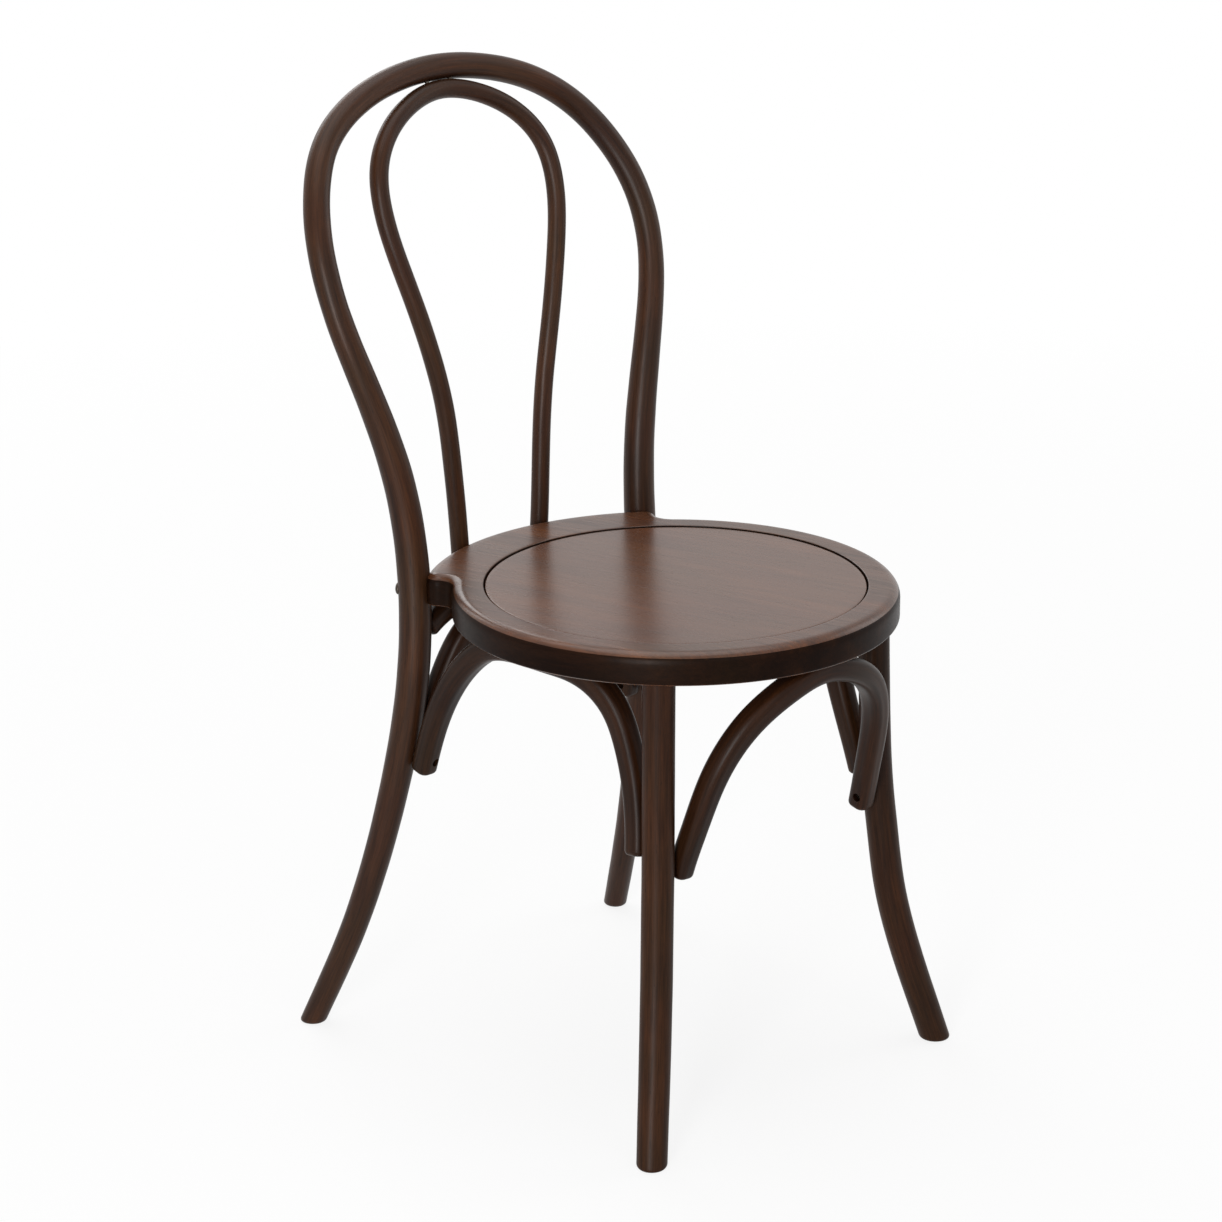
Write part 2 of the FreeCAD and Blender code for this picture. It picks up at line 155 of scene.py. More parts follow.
# Front leg in an upright plane through the seat's centre: (distance out, height), diameter
FRONT_LEG_ANGLE = -39.9
FRONT_LEG = [
    ((245, 0), 27.5),
    ((215, 91), 28.5),
    ((199.5, 151), 28.8),
    ((191, 210), 28.8),
    ((185, 265), 28.8),
    ((181, 345), 28.8),
    ((179, SEAT_UNDERSIDE), 28.8),
]

# Braces: square rods with well rounded corners, thickest where they bear on the seat
BRACE_THICKNESS = 23.0
BRACE_END_THICKNESS = 21.0
BRACE_TAPER_DROP = 140.0
BRACE_CORNER = 8.0
BRACE_LEAST_CORNER = 0.8
BRACE_CORNER_STEPS = 8
BRACE_FLAT_SHARES = (-0.7, -0.25, 0.25, 0.7)
BRACE_END_ROUNDING = 4.5
BRACE_TOP = SEAT_UNDERSIDE - BRACE_THICKNESS / 2
FRONT_BRACE = [
    (117.5, -120.5, 242),
    (115.5, -126, 262),
    (111.5, -134.5, 291),
    (101.5, -150, 342),
    (75, -164.5, 384),
    (36, -173, 407),
    (0, -174.5, BRACE_TOP),
]
REAR_BRACE = [
    (133, 189, 399),
    (118, 191.5, 406),
    (92, 196, 412.5),
    (50, 203, BRACE_TOP),
    (0, 205, BRACE_TOP),
]
REAR_ARCH = [
    (133, 198, 266),
    (131.5, 194, 290),
    (127.5, 190, 312),
    (119, 186, 338),
    (109, 181.5, 364),
    (98, 178, 383),
    (82, 175.5, 398),
    (58, 174.5, 409),
    (28, 174, 414),
    (0, 174, BRACE_TOP),
]
SIDE_BRACE = [
    (148.2, 177, 267),
    (148, 167.5, 296.5),
    (148, 151.5, 334),
    (147.5, 129, 369.5),
    (147, 108, 392),
    (146.5, 88, 406),
    (146.5, 66, 412.5),
    (146.5, 35, BRACE_TOP),
    (146, 5, BRACE_TOP),
    (143.5, -20, 412.5),
    (139.5, -43.5, 402.5),
    (136, -61, 384.5),
    (134.5, -74, 356.5),
    (135.5, -83.5, 326.5),
    (139, -91, 296.5),
    (145, -97, 261.5),
]

# Round wells for the screws in the braces
WELL_DIAMETER = 8.0
WELL_DEPTH = 6.0
WELL_OVERRUN = 8.0
END_SCREW_RISE = 13.0
SEAT_SCREW_DEPTH = 8.0
FRONT_SCREW_SHARES = (0.44, 0.56)
REAR_SCREW_SHARES = (0.3, 0.7)
ARCH_SCREW_SHARES = (0.44, 0.56)
SIDE_SCREW_SHARES = (0.44, 0.54)
WELL_SIDES = 40

# Screws at the floor of those wells: a low dome with a cross recess, on a short shank
HEAD_DIAMETER = 7.4
HEAD_RISE = 2.2
HEAD_RIM = 0.3
NECK_LENGTH = 1.6
SHANK_DIAMETER = 4.2
SHANK_LENGTH = 24.0
TIP_LENGTH = 5.0
TIP_RADIUS = 0.5
RECESS_SPAN = 4.2
RECESS_WIDTH = 1.0
RECESS_DEPTH = 1.5
RECESS_TAPER = 0.6
RECESS_OVERRUN = 2.0
SCREW_SIDES = 36

# Round heads: rings from near the crown, at this angle in radians above the rim, down to the rim
DOME_STEPS = 8
DOME_START = 1.45

# Bolts through the rear legs into the seat's ears, with round heads that stand out of the wood
BOLT_HEIGHT = 438.0
BOLT_DIAMETER = 6.0
BOLT_LENGTH = 86.0
BOLT_HEAD_DIAMETER = 11.0
BOLT_HEAD_RISE = 2.5
BOLT_HEAD_SINK = 1.3

# Feet and ends of the rods
FOOT_ROUNDING = 3.5
FOOT_BLEND = 45.0
SOLE_INSETS = (9.0, 6.0, 3.0, 1.2)
LEAST_HEIGHT = 0.01
HOOP_END_INSETS = (1.0, 0.3)
ROD_OVERRUN = 12.0

# Fineness of the rods' meshes
ROUNDING_STEPS = 6
RING_SPACING = 4.0
ROD_SIDES = 48
CREASE = 38.0

# Fineness of the measuring along lines, and how many vertices are measured at a time
LINE_SAMPLES = 800
BOLT_SAMPLES = 4000
GRAIN_SPACING = 2
GRAIN_BLOCK = 4000

# How far hand-rubbed wood strays from a true circle: depth, wave lengths and seeds
UNEVENNESS = 0.12
RIPPLE_WAVES = (170.0, 90.0, 47.0)
BACK_SEED = 11
HOOP_SEED = 23
LEG_SEED = 31

# A direction that no axis here runs along
SKEW = (0.3, 0.9, 0.2)

# Where each piece's grain starts in the pattern, in millimetres, so that no two pieces look alike
GRAIN_STARTS = {
    "back_frame_rod": (0, 0, 0),
    "inner_hoop_rod": (300, 150, 900),
    "seat_ring_frame": (620, 410, 2100),
    "seat_panel_board": (1500, 870, 300),
    "front_leg_rod_left": (70, 210, 40),
    "front_leg_rod_right": (430, 90, 700),
    "side_brace_bow_left": (210, 70, 1400),
    "side_brace_bow_right": (90, 430, 1400),
    "front_brace_bow": (40, 700, 80),
    "rear_brace_bow": (910, 60, 510),
    "rear_arch_bow": (220, 640, 330),
}

# Stain: the wood's darkest, middle, warmest and olive parts, and its open pores
STAIN_DARK = (0.026, 0.0092, 0.0044)
STAIN_MIDDLE = (0.054, 0.0195, 0.0085)
STAIN_WARM = (0.098, 0.036, 0.0135)
STAIN_OLIVE = (0.05, 0.0235, 0.0088)
STAIN_STOPS = (0.3, 0.5, 0.72)
PORE_COLOUR = (0.006, 0.0032, 0.0025)
STREAK_TINTS = [(0.34, (0.55, 0.53, 0.5)), (0.52, (0.98, 0.98, 0.98)), (0.7, (1.3, 1.25, 1.2))]
FIBRE_TINTS = [(0.36, (0.7, 0.68, 0.66)), (0.6, (1.12, 1.1, 1.08))]

# How much the streaks tint and roughen, the clouds turn olive, and the pores darken and roughen
STREAK_TINT = 0.8
STREAK_ROUGHNESS = 0.04
OLIVE_RANGE = (0.42, 0.68, 0.0, 0.6)
PORE_RANGE = (0.66, 0.73, 0.0, 0.7)
PORE_ROUGHNESS = 0.2
FIBRE_HEIGHT = 0.5
RELIEF_DEPTH = 0.0002
LACQUER_IOR = 1.45

# Noise along the grain: shrinking along the fibres, fineness, detail, roughness, distortion
BROAD_NOISE = (0.16, 30.0, 3.0, 0.5, 0.5)
STREAK_NOISE = (0.05, 300.0, 5.0, 0.62, 0.2)
FIBRE_NOISE = (0.03, 1100.0, 3.0, 0.6)
PORE_NOISE = (0.07, 1500.0, 2.0, 0.5)
CLOUD_NOISE = (11.0, 2.0, 0.5)

# What most of a noise lies between
NOISE_SPAN = (0.3, 0.7)

# Marks and worn patches of the metals: fineness, detail, roughness
MARK_NOISE = (2600.0, 3.0, 0.6)
PATCH_NOISE = (260.0, 3.0, 0.6)
PATCH_STOPS = (0.35, 0.7)
MARK_SMOOTHER = 0.07
MARK_ROUGHER = 0.1
MARK_STRENGTH = 0.2
MARK_DEPTH = 0.00005


# Numbers: smooth lines and the frames along them

def mirrored(half):
    """The right half's places continued down the left side."""
    left = [(-x, y, z) for x, y, z in half[:-1]]
    return half + left[::-1]


def end_slope(times, points):
    """The slope at the first place of the cubic through the first four."""
    return np.array([np.polyfit(times - times[0], points[:, axis], 3)[2] for axis in range(3)])


class Line:
    """A smooth line through places, with a size at each."""

    def __init__(self, places, sizes):
        self.points = np.array(places, float)
        steps = np.linalg.norm(np.diff(self.points, axis=0), axis=1)
        self.times = np.concatenate([[0.0], np.cumsum(steps)])
        self.sizes = np.array(sizes, float)
        self.slopes = self.solve()

    def solve(self):
        """The slope at every place that makes the line's curvature unbroken."""
        count = len(self.points)
        gaps = np.diff(self.times)
        chords = np.diff(self.points, axis=0) / gaps[:, None]
        matrix = np.eye(count)
        right = np.zeros((count, 3))
        right[0] = end_slope(self.times[:4], self.points[:4])
        right[-1] = end_slope(self.times[-4:][::-1], self.points[-4:][::-1])
        for i in range(1, count - 1):
            matrix[i, i - 1] = gaps[i]
            matrix[i, i] = 2 * (gaps[i - 1] + gaps[i])
            matrix[i, i + 1] = gaps[i - 1]
            right[i] = 3 * (gaps[i] * chords[i - 1] + gaps[i - 1] * chords[i])
        return np.linalg.solve(matrix, right)

    def at(self, time):
        """Points and unit tangents at the given times."""
        time = np.atleast_1d(np.asarray(time, float))
        span = np.clip(np.searchsorted(self.times, time, side="right") - 1, 0, len(self.times) - 2)
        gap = (self.times[span + 1] - self.times[span])[:, None]
        t = (time - self.times[span])[:, None] / gap
        a, b = self.points[span], self.points[span + 1]
        ta, tb = self.slopes[span] * gap, self.slopes[span + 1] * gap
        point = (2 * t**3 - 3 * t**2 + 1) * a + (t**3 - 2 * t**2 + t) * ta
        point += (3 * t**2 - 2 * t**3) * b + (t**3 - t**2) * tb
        slope = (6 * t**2 - 6 * t) * a + (3 * t**2 - 4 * t + 1) * ta
        slope += (6 * t - 6 * t**2) * b + (3 * t**2 - 2 * t) * tb
        return point, slope / np.linalg.norm(slope, axis=1)[:, None]

    def size(self, time):
        return np.interp(time, self.times, self.sizes)

    def length(self):
        return self.times[-1]


def backward(points):
    return np.tile([0.0, 1.0, 0.0], (len(points), 1))


def sideways(points):
    return np.tile([1.0, 0.0, 0.0], (len(points), 1))


def outward(points):
    flat = points * [1, 1, 0]
    return flat / np.linalg.norm(flat, axis=1)[:, None]


def axes_along(line, times, side_of):
    """The line's points, tangents, and the two directions across it."""
    points, tangents = line.at(times)
    side = side_of(points)
    across = side - tangents * np.sum(side * tangents, axis=1)[:, None]
    across /= np.linalg.norm(across, axis=1)[:, None]
    return points, tangents, across, np.cross(tangents, across)


def ripple(seed, turns, lengths):
    """A slow unevenness round and along a rod, between about -1 and 1."""
    draw = np.random.default_rng(seed)
    total = np.zeros(np.broadcast(turns, lengths).shape)
    for wave in RIPPLE_WAVES:
        lobes = draw.integers(1, 4)
        phase, shift = draw.uniform(0, 2 * math.pi, 2)
        total += np.sin(lobes * turns + phase) * np.sin(2 * math.pi * lengths / wave + shift) / 3
    return total


def quarter_round(radius, steps):
    """Distances in from two faces round their rounded edge: from on the first to on the second."""
    turns = [math.radians(90 * step / steps) for step in range(steps + 1)]
    return [(radius * (1 - math.cos(turn)), radius * (1 - math.sin(turn))) for turn in turns]


def across_axis(direction):
    """Two unit directions square to an axis and to each other."""
    side = np.cross(direction, SKEW)
    side /= np.linalg.norm(side)
    return side, np.cross(direction, side)


# Meshes

def tube_faces(rings, sides):
    """Quads between closed rings of points."""
    faces = []
    for ring in range(rings - 1):
        for k in range(sides):
            a = ring * sides + k
            b = ring * sides + (k + 1) % sides
            faces.append((a, b, b + sides, a + sides))
    return faces


def mesh_object(name, points, faces, crease=CREASE):
    """A smooth shaded object from millimetre points in the drawing frame."""
    mesh = bpy.data.meshes.new(name)
    placed = np.asarray(points) * MM + SEAT_CENTRE
    mesh.from_pydata(placed.tolist(), [], faces)
    mesh.validate()
    obj = bpy.data.objects.new(name, mesh)
    bpy.context.scene.collection.objects.link(obj)
    smooth(obj, crease)
    return obj


def smooth(obj, crease=CREASE):
    """Smooth shading, but for edges sharper than the crease in degrees."""
    mesh = obj.data
    mesh.polygons.foreach_set("use_smooth", np.ones(len(mesh.polygons), bool))
    mesh.set_sharp_from_angle(angle=math.radians(crease))
    mesh.update()


def facing_out(obj):
    """The same object with all its faces turned outward."""
    bpy.context.view_layer.objects.active = obj
    obj.select_set(True)
    bpy.ops.object.mode_set(mode="EDIT")
    bpy.ops.mesh.select_all(action="SELECT")
    bpy.ops.mesh.normals_make_consistent(inside=False)
    bpy.ops.object.mode_set(mode="OBJECT")
    obj.select_set(False)
    return obj


def places_of(obj):
    """The object's vertices back in the drawing frame, in millimetres."""
    flat = np.zeros(len(obj.data.vertices) * 3, np.float32)
    obj.data.vertices.foreach_get("co", flat)
    return (flat.reshape(-1, 3) - SEAT_CENTRE) / MM


def put_grain(obj, across, upward, along):
    """Stores each vertex's place in the straight board that the piece came from, in metres."""
    values = np.stack([across, upward, along], 1) + GRAIN_STARTS[obj.name]
    layer = obj.data.attributes.new("grain", "FLOAT_VECTOR", "POINT")
    layer.data.foreach_set("vector", (values * MM).astype(np.float32).ravel())


def grain_along(obj, line, side_of):
    """Grain that follows a bent rod's line."""
    times = np.linspace(0, line.length(), int(line.length() / GRAIN_SPACING))
    points, tangents, across, upward = axes_along(line, times, side_of)
    vertices = places_of(obj)
    nearest = np.empty(len(vertices), int)
    for start in range(0, len(vertices), GRAIN_BLOCK):
        part = vertices[start:start + GRAIN_BLOCK]
        distance = ((part[:, None, :] - points[None]) ** 2).sum(2)
        nearest[start:start + GRAIN_BLOCK] = distance.argmin(1)
    away = vertices - points[nearest]
    u = (away * across[nearest]).sum(1)
    v = (away * upward[nearest]).sum(1)
    w = times[nearest] + (away * tangents[nearest]).sum(1)
    put_grain(obj, u, v, w)


def grain_straight(obj):
    """Grain that runs straight over the seat, at its slant from front to back."""
    x, y, z = places_of(obj).T
    turn = math.radians(SEAT_GRAIN_ANGLE)
    across = x * math.cos(turn) + y * math.sin(turn)
    along = y * math.cos(turn) - x * math.sin(turn)
    put_grain(obj, across, z, along)


def round_rod(line, times, side_of, seed):
    """Rings of a round rod at the given times."""
    points, tangents, across, upward = axes_along(line, times, side_of)
    turns = np.linspace(0, 2 * math.pi, ROD_SIDES, endpoint=False)
    strays = ripple(seed, turns[None], times[:, None]) - 1
    radius = line.size(times)[:, None] / 2 + UNEVENNESS * strays
    ring = np.cos(turns)[None, :, None] * across[:, None]
    ring = ring + np.sin(turns)[None, :, None] * upward[:, None]
    return points[:, None] + radius[:, :, None] * ring


def level_crossing(rings, height):
    """Where each lengthwise line of a rod passes a height, counted in rings from the first."""
    below = rings[:, :, 2] < height
    last = below.shape[0] - 1 - below[::-1].argmax(0)
    sides = np.arange(rings.shape[1])
    low, high = rings[last, sides, 2], rings[last + 1, sides, 2]
    return last + (height - low) / (high - low)


def points_at(rings, places):
    """Each lengthwise line's points at fractional ring numbers, one row for each row of places."""
    whole = np.floor(places).astype(int)
    share = (places - whole)[..., None]
    sides = np.broadcast_to(np.arange(rings.shape[1]), places.shape)
    return rings[whole, sides] * (1 - share) + rings[whole + 1, sides] * share


def with_foot(rings):
    """A rod's rings made level at the floor, with its lower edge eased and a sole."""
    upper = int(np.ceil(level_crossing(rings, FOOT_BLEND).max())) + 1
    crossing = level_crossing(rings, FOOT_ROUNDING)
    count = int(FOOT_BLEND / RING_SPACING) * 2
    rows = []
    for step in range(count):
        rows.append(crossing + (upper - crossing) * step / count)
    blended = points_at(rings, np.array(rows))
    foot = []
    for height, inset in quarter_round(FOOT_ROUNDING, ROUNDING_STEPS)[:-1]:
        ring = points_at(rings, level_crossing(rings, max(height, LEAST_HEIGHT))[None])[0]
        ring[:, 2] = height
        foot.append(drawn_in(ring, inset))
    sole = [drawn_in(foot[0], inset) for inset in SOLE_INSETS]
    return np.concatenate([np.array(sole), np.array(foot), blended, rings[upper:]])


def drawn_in(ring, inset):
    """The ring moved towards its own middle."""
    middle = ring.mean(0)
    away = ring - middle
    reach = np.linalg.norm(away, axis=1)[:, None]
    return middle + away * (1 - inset / reach)


def closed_tube(name, rings):
    """A tube from rings of points, its two ends closed with flat faces."""
    count, sides = rings.shape[:2]
    faces = tube_faces(count, sides)
    faces.append(tuple(range(sides))[::-1])
    faces.append(tuple(range((count - 1) * sides, count * sides)))
    return facing_out(mesh_object(name, rings.reshape(-1, 3), faces))


def even_times(line, start=0.0, end=None):
    end = line.length() if end is None else end
    return np.linspace(start, end, int((end - start) / RING_SPACING) + 1)


def overrun(places, distance):
    """The places with one more past the first, straight on below the floor."""
    first, second = np.array(places[0], float), np.array(places[1], float)
    step = first - second
    return [tuple(first + step / np.linalg.norm(step) * distance)] + places


def back_line():
    half = [place for place, diameter in BACK_ROD]
    sizes = [diameter for place, diameter in BACK_ROD]
    places = overrun(mirrored(half), ROD_OVERRUN)
    x, y, z = places[0]
    places.append((-x, y, z))
    return Line(places, [sizes[0]] + sizes + sizes[-2::-1] + [sizes[0]])


def make_back_frame():
    """One rod from foot to foot."""
    line = back_line()
    rings = round_rod(line, even_times(line), backward, BACK_SEED)
    half = len(rings) // 2
    first = with_foot(rings[:half + 1])
    second = with_foot(rings[half:][::-1])[::-1]
    obj = closed_tube("back_frame_rod", np.concatenate([first, second[1:]]))
    grain_along(obj, line, backward)
    return obj


def make_inner_hoop():
    half = [place for place, diameter in INNER_ROD]
    sizes = [diameter for place, diameter in INNER_ROD]
    line = Line(mirrored(half), sizes + sizes[-2::-1])
    rings = round_rod(line, even_times(line), backward, HOOP_SEED)
    for end, at in ((rings[0], 0), (rings[-1], len(rings))):
        eased = [drawn_in(end, inset) for inset in HOOP_END_INSETS]
        rings = np.insert(rings, at, eased if at == 0 else eased[::-1], axis=0)
    obj = closed_tube("inner_hoop_rod", rings)
    grain_along(obj, line, backward)
    return obj


def front_leg_line(side):
    angle = math.radians(FRONT_LEG_ANGLE)
    places = []
    for (distance, height), diameter in FRONT_LEG:
        places.append((side * distance * math.cos(angle), distance * math.sin(angle), height))
    sizes = [diameter for place, diameter in FRONT_LEG]
    top = places[-1]
    places = overrun(places, ROD_OVERRUN) + [(top[0], top[1], top[2] + ROD_OVERRUN)]
    return Line(places, [sizes[0]] + sizes + [sizes[-1]])


def make_front_leg(name, side):
    line = front_leg_line(side)
    times = even_times(line, 0, line.length() - ROD_OVERRUN)
    rings = round_rod(line, times, outward, LEG_SEED + side)
    rings[-1, :, 2] = SEAT_UNDERSIDE
    obj = closed_tube(name, with_foot(rings))
    grain_along(obj, line, outward)
    return obj


def brace_size(height):
    drop = np.minimum(1.0, (BRACE_TOP - height) / BRACE_TAPER_DROP)
    return BRACE_THICKNESS - drop * (BRACE_THICKNESS - BRACE_END_THICKNESS)


def square_section(thickness, inset):
    """Points round a square with round corners, and drawn in by an inset."""
    half = thickness / 2 - inset
    corner = max(BRACE_CORNER - inset, BRACE_LEAST_CORNER)
    inner = half - corner
    points = []
    for turn in range(4):
        quarter = math.radians(90 * turn)
        for share in BRACE_FLAT_SHARES:
            points.append(rotated((half, inner * share), quarter))
        for step in range(BRACE_CORNER_STEPS + 1):
            angle = math.radians(90 * step / BRACE_CORNER_STEPS)
            place = (inner + corner * math.cos(angle), inner + corner * math.sin(angle))
            points.append(rotated(place, quarter))
    return np.array(points)


def rotated(place, angle):
    x, y = place
    return (x * math.cos(angle) - y * math.sin(angle), x * math.sin(angle) + y * math.cos(angle))


def brace_rings(line, side_of):
    """Rings of a brace, its two ends eased all round."""
    length = line.length()
    near_end = quarter_round(BRACE_END_ROUNDING, ROUNDING_STEPS)[:-1]
    middle = [(time, 0.0) for time in even_times(line, BRACE_END_ROUNDING, length - BRACE_END_ROUNDING)]
    far_end = [(length - time, inset) for time, inset in near_end]
    rings = []
    for time, inset in sorted(near_end + middle + far_end):
        points, tangents, across, upward = axes_along(line, [time], side_of)
        section = square_section(float(line.size(time)), inset)
        rings.append(points[0] + section[:, :1] * across[0] + section[:, 1:] * upward[0])
    return np.array(rings)


def pushed_out(points, line):
    """Points that lie inside a round rod moved out onto its surface, which seats a brace's end."""
    times = np.linspace(0, line.length(), LINE_SAMPLES)
    middle = line.at(times)[0]
    radii = line.size(times) / 2
    for i, point in enumerate(points):
        away = point - middle
        distance = np.linalg.norm(away, axis=1)
        k = distance.argmin()
        if distance[k] < radii[k]:
            points[i] = middle[k] + away[k] / distance[k] * radii[k]
    return points


def end_wells(line, legs):
    """Centre and direction of the screw at each end of a brace, on its hollow side."""
    found = []
    for time, leg in ((END_SCREW_RISE, legs[0]), (line.length() - END_SCREW_RISE, legs[1])):
        point = line.at(time)[0][0]
        middle = leg.at(np.linspace(0, leg.length(), LINE_SAMPLES))[0]
        target = middle[np.linalg.norm(middle - point, axis=1).argmin()]
        direction = (target - point) / np.linalg.norm(target - point)
        half = float(line.size(time)) / 2
        found.append((point - direction * half, direction, WELL_DEPTH))
    return found


def seat_wells(line, shares):
    """Centre and direction of each screw that goes up into the seat."""
    found = []
    for share in shares:
        point = line.at(share * line.length())[0][0]
        found.append((point - [0, 0, BRACE_THICKNESS / 2], np.array([0.0, 0.0, 1.0]), SEAT_SCREW_DEPTH))
    return found


def cut_away(obj, tool):
    """The tool's space taken out of the object, and the tool removed."""
    bpy.context.view_layer.update()
    cut = obj.modifiers.new("cut", "BOOLEAN")
    cut.operation = "DIFFERENCE"
    cut.solver = "EXACT"
    cut.object = tool
    graph = bpy.context.evaluated_depsgraph_get()
    mesh = bpy.data.meshes.new_from_object(obj.evaluated_get(graph))
    obj.modifiers.clear()
    old = obj.data
    mesh.name = old.name
    obj.data = mesh
    bpy.data.meshes.remove(old)
    bpy.data.objects.remove(tool)


def well_tool(centre, direction, depth):
    """A cylinder that reaches from outside the wood to the well's floor."""
    outside = centre - direction * WELL_OVERRUN
    inside = centre + direction * depth
    side, other = across_axis(direction)
    turns = np.linspace(0, 2 * math.pi, WELL_SIDES, endpoint=False)
    ring = WELL_DIAMETER / 2 * (np.cos(turns)[:, None] * side + np.sin(turns)[:, None] * other)
    return closed_tube("well_tool", np.array([outside + ring, inside + ring]))


def turned(name, start, direction, plan):
    """A round piece on an axis, from its radii at distances along it."""
    side, other = across_axis(direction)
    turns = np.linspace(0, 2 * math.pi, SCREW_SIDES, endpoint=False)
    circle = np.cos(turns)[:, None] * side + np.sin(turns)[:, None] * other
    rings = [start + direction * along + circle * radius for radius, along in plan]
    return closed_tube(name, np.array(rings))


def dome(diameter, rise):
    """Radii and distances of a round head, from its crown to its rim."""
    turns = np.linspace(DOME_START, 0.0, DOME_STEPS)
    return [(diameter / 2 * math.cos(turn), -rise * math.sin(turn)) for turn in turns]


def make_screw(name, centre, direction, depth):
    """A cross-head screw that stands on the floor of a well and runs on into the wood."""
    side, other = across_axis(direction)
    floor = centre + direction * depth
    plan = dome(HEAD_DIAMETER, HEAD_RISE)
    plan += [(HEAD_DIAMETER / 2 - HEAD_RIM, HEAD_RIM), (SHANK_DIAMETER / 2, NECK_LENGTH)]
    plan += [(SHANK_DIAMETER / 2, SHANK_LENGTH - TIP_LENGTH), (TIP_RADIUS, SHANK_LENGTH)]
    screw = turned(name, floor, direction, plan)
    for first, second in ((side, other), (other, side)):
        corners = np.array([first * RECESS_SPAN / 2 * a + second * RECESS_WIDTH / 2 * b
                            for a, b in ((1, 1), (1, -1), (-1, -1), (-1, 1))])
        low = floor - direction * (HEAD_RISE - RECESS_DEPTH)
        high = floor - direction * (HEAD_RISE + RECESS_OVERRUN)
        slot = np.array([high + corners, low + corners * RECESS_TAPER])
        cut_away(screw, closed_tube("recess_tool", slot))
    return screw


def make_frame_bolt(line, side):
    """A round-headed bolt through a rear leg, pointing at the seat's centre."""
    times = np.linspace(0, line.length(), BOLT_SAMPLES)
    points = line.at(times)[0]
    misses = np.abs(points[:, 2] - BOLT_HEIGHT)
    misses[points[:, 0] * side <= 0] = math.inf
    nearest = misses.argmin()
    outward_way = outward(points[nearest:nearest + 1])[0]
    start = points[nearest] + outward_way * float(line.size(times[nearest])) / 2
    plan = dome(BOLT_HEAD_DIAMETER, BOLT_HEAD_RISE)
    plan += [(BOLT_HEAD_DIAMETER / 2, BOLT_HEAD_SINK), (BOLT_DIAMETER / 2, BOLT_HEAD_SINK)]
    plan += [(BOLT_DIAMETER / 2, BOLT_LENGTH)]
    return turned("bolt", start, -outward_way, plan)


def joined(name, pieces):
    """Several objects as one, each still a closed shell of its own."""
    whole = bmesh.new()
    for piece in pieces:
        whole.from_mesh(piece.data)
    mesh = bpy.data.meshes.new(name)
    whole.to_mesh(mesh)
    whole.free()
    for piece in pieces:
        old = piece.data
        bpy.data.objects.remove(piece)
        bpy.data.meshes.remove(old)
    obj = bpy.data.objects.new(name, mesh)
    bpy.context.scene.collection.objects.link(obj)
    return obj


def make_brace(name, places, side_of, legs, shares, screw_wells):
    """A brace fitted to its legs and the seat. It notes the wells that its screws stand in."""
    line = Line(places, [brace_size(z) for x, y, z in places])
    rings = brace_rings(line, side_of)
    points = rings.reshape(-1, 3)
    for leg in legs:
        points = pushed_out(points, leg)
    points[:, 2] = np.minimum(points[:, 2], SEAT_UNDERSIDE)
    obj = closed_tube(name, points.reshape(rings.shape))
    ends = end_wells(line, legs)
    tops = seat_wells(line, shares)
    for well in ends + tops:
        cut_away(obj, well_tool(*well))
    smooth(obj)
    grain_along(obj, line, side_of)
    screw_wells["brace_end_screws"] += ends
    screw_wells["brace_seat_screws"] += tops
    return obj


# Seat

def arc(centre, radius, start, end, count):
    """Points along an arc and their angles, in radians."""
    angles = np.linspace(start, end, count)
    x = centre[0] + radius * np.cos(angles)
    y = centre[1] + radius * np.sin(angles)
    return np.stack([x, y], 1), angles


def seat_edge():
    """The right half of the seat's outline, from the front to the rear middle, and its normals."""
    ear = math.radians(EAR_DIRECTION)
    along = np.array([math.cos(ear), math.sin(ear)])
    aside = np.array([along[1], -along[0]])
    throat_side = EAR_HALF_WIDTH + EAR_THROAT_RADIUS
    throat_reach = math.sqrt((SEAT_RADIUS + EAR_THROAT_RADIUS) ** 2 - throat_side**2)
    throat = along * throat_reach + aside * throat_side
    corner_side = EAR_HALF_WIDTH - EAR_CORNER_RADIUS
    corner_reach = math.sqrt((REAR_EDGE_RADIUS - EAR_CORNER_RADIUS) ** 2 - corner_side**2)
    corner = along * corner_reach + aside * corner_side
    throat_angle = math.atan2(throat[1], throat[0])
    corner_angle = math.atan2(corner[1], corner[0])
    aside_angle = math.atan2(aside[1], aside[0])
    main, main_turn = arc((0, 0), SEAT_RADIUS, -math.pi / 2, throat_angle, MAIN_EDGE_POINTS)
    hollow = (throat_angle + math.pi, aside_angle + math.pi)
    inner, inner_turn = arc(throat, EAR_THROAT_RADIUS, *hollow, EAR_ARC_POINTS)
    outer, outer_turn = arc(corner, EAR_CORNER_RADIUS, aside_angle, corner_angle, EAR_ARC_POINTS)
    rear, rear_turn = arc((0, 0), REAR_EDGE_RADIUS, corner_angle, math.pi / 2, REAR_EDGE_POINTS)
    points = np.concatenate([main[:-1], inner, outer[:-1], rear])
    turns = np.concatenate([main_turn[:-1], inner_turn + math.pi, outer_turn[:-1], rear_turn])
    return points, np.stack([np.cos(turns), np.sin(turns)], 1)


def whole_edge():
    """The seat's whole outline and its normals."""
    points, normals = seat_edge()
    flip = np.array([-1, 1])
    left_points = (points[1:-1] * flip)[::-1]
    left_normals = (normals[1:-1] * flip)[::-1]
    return np.concatenate([points, left_points]), np.concatenate([normals, left_normals])


def raised(flat, height):
    return np.column_stack([flat, np.full(len(flat), height)])


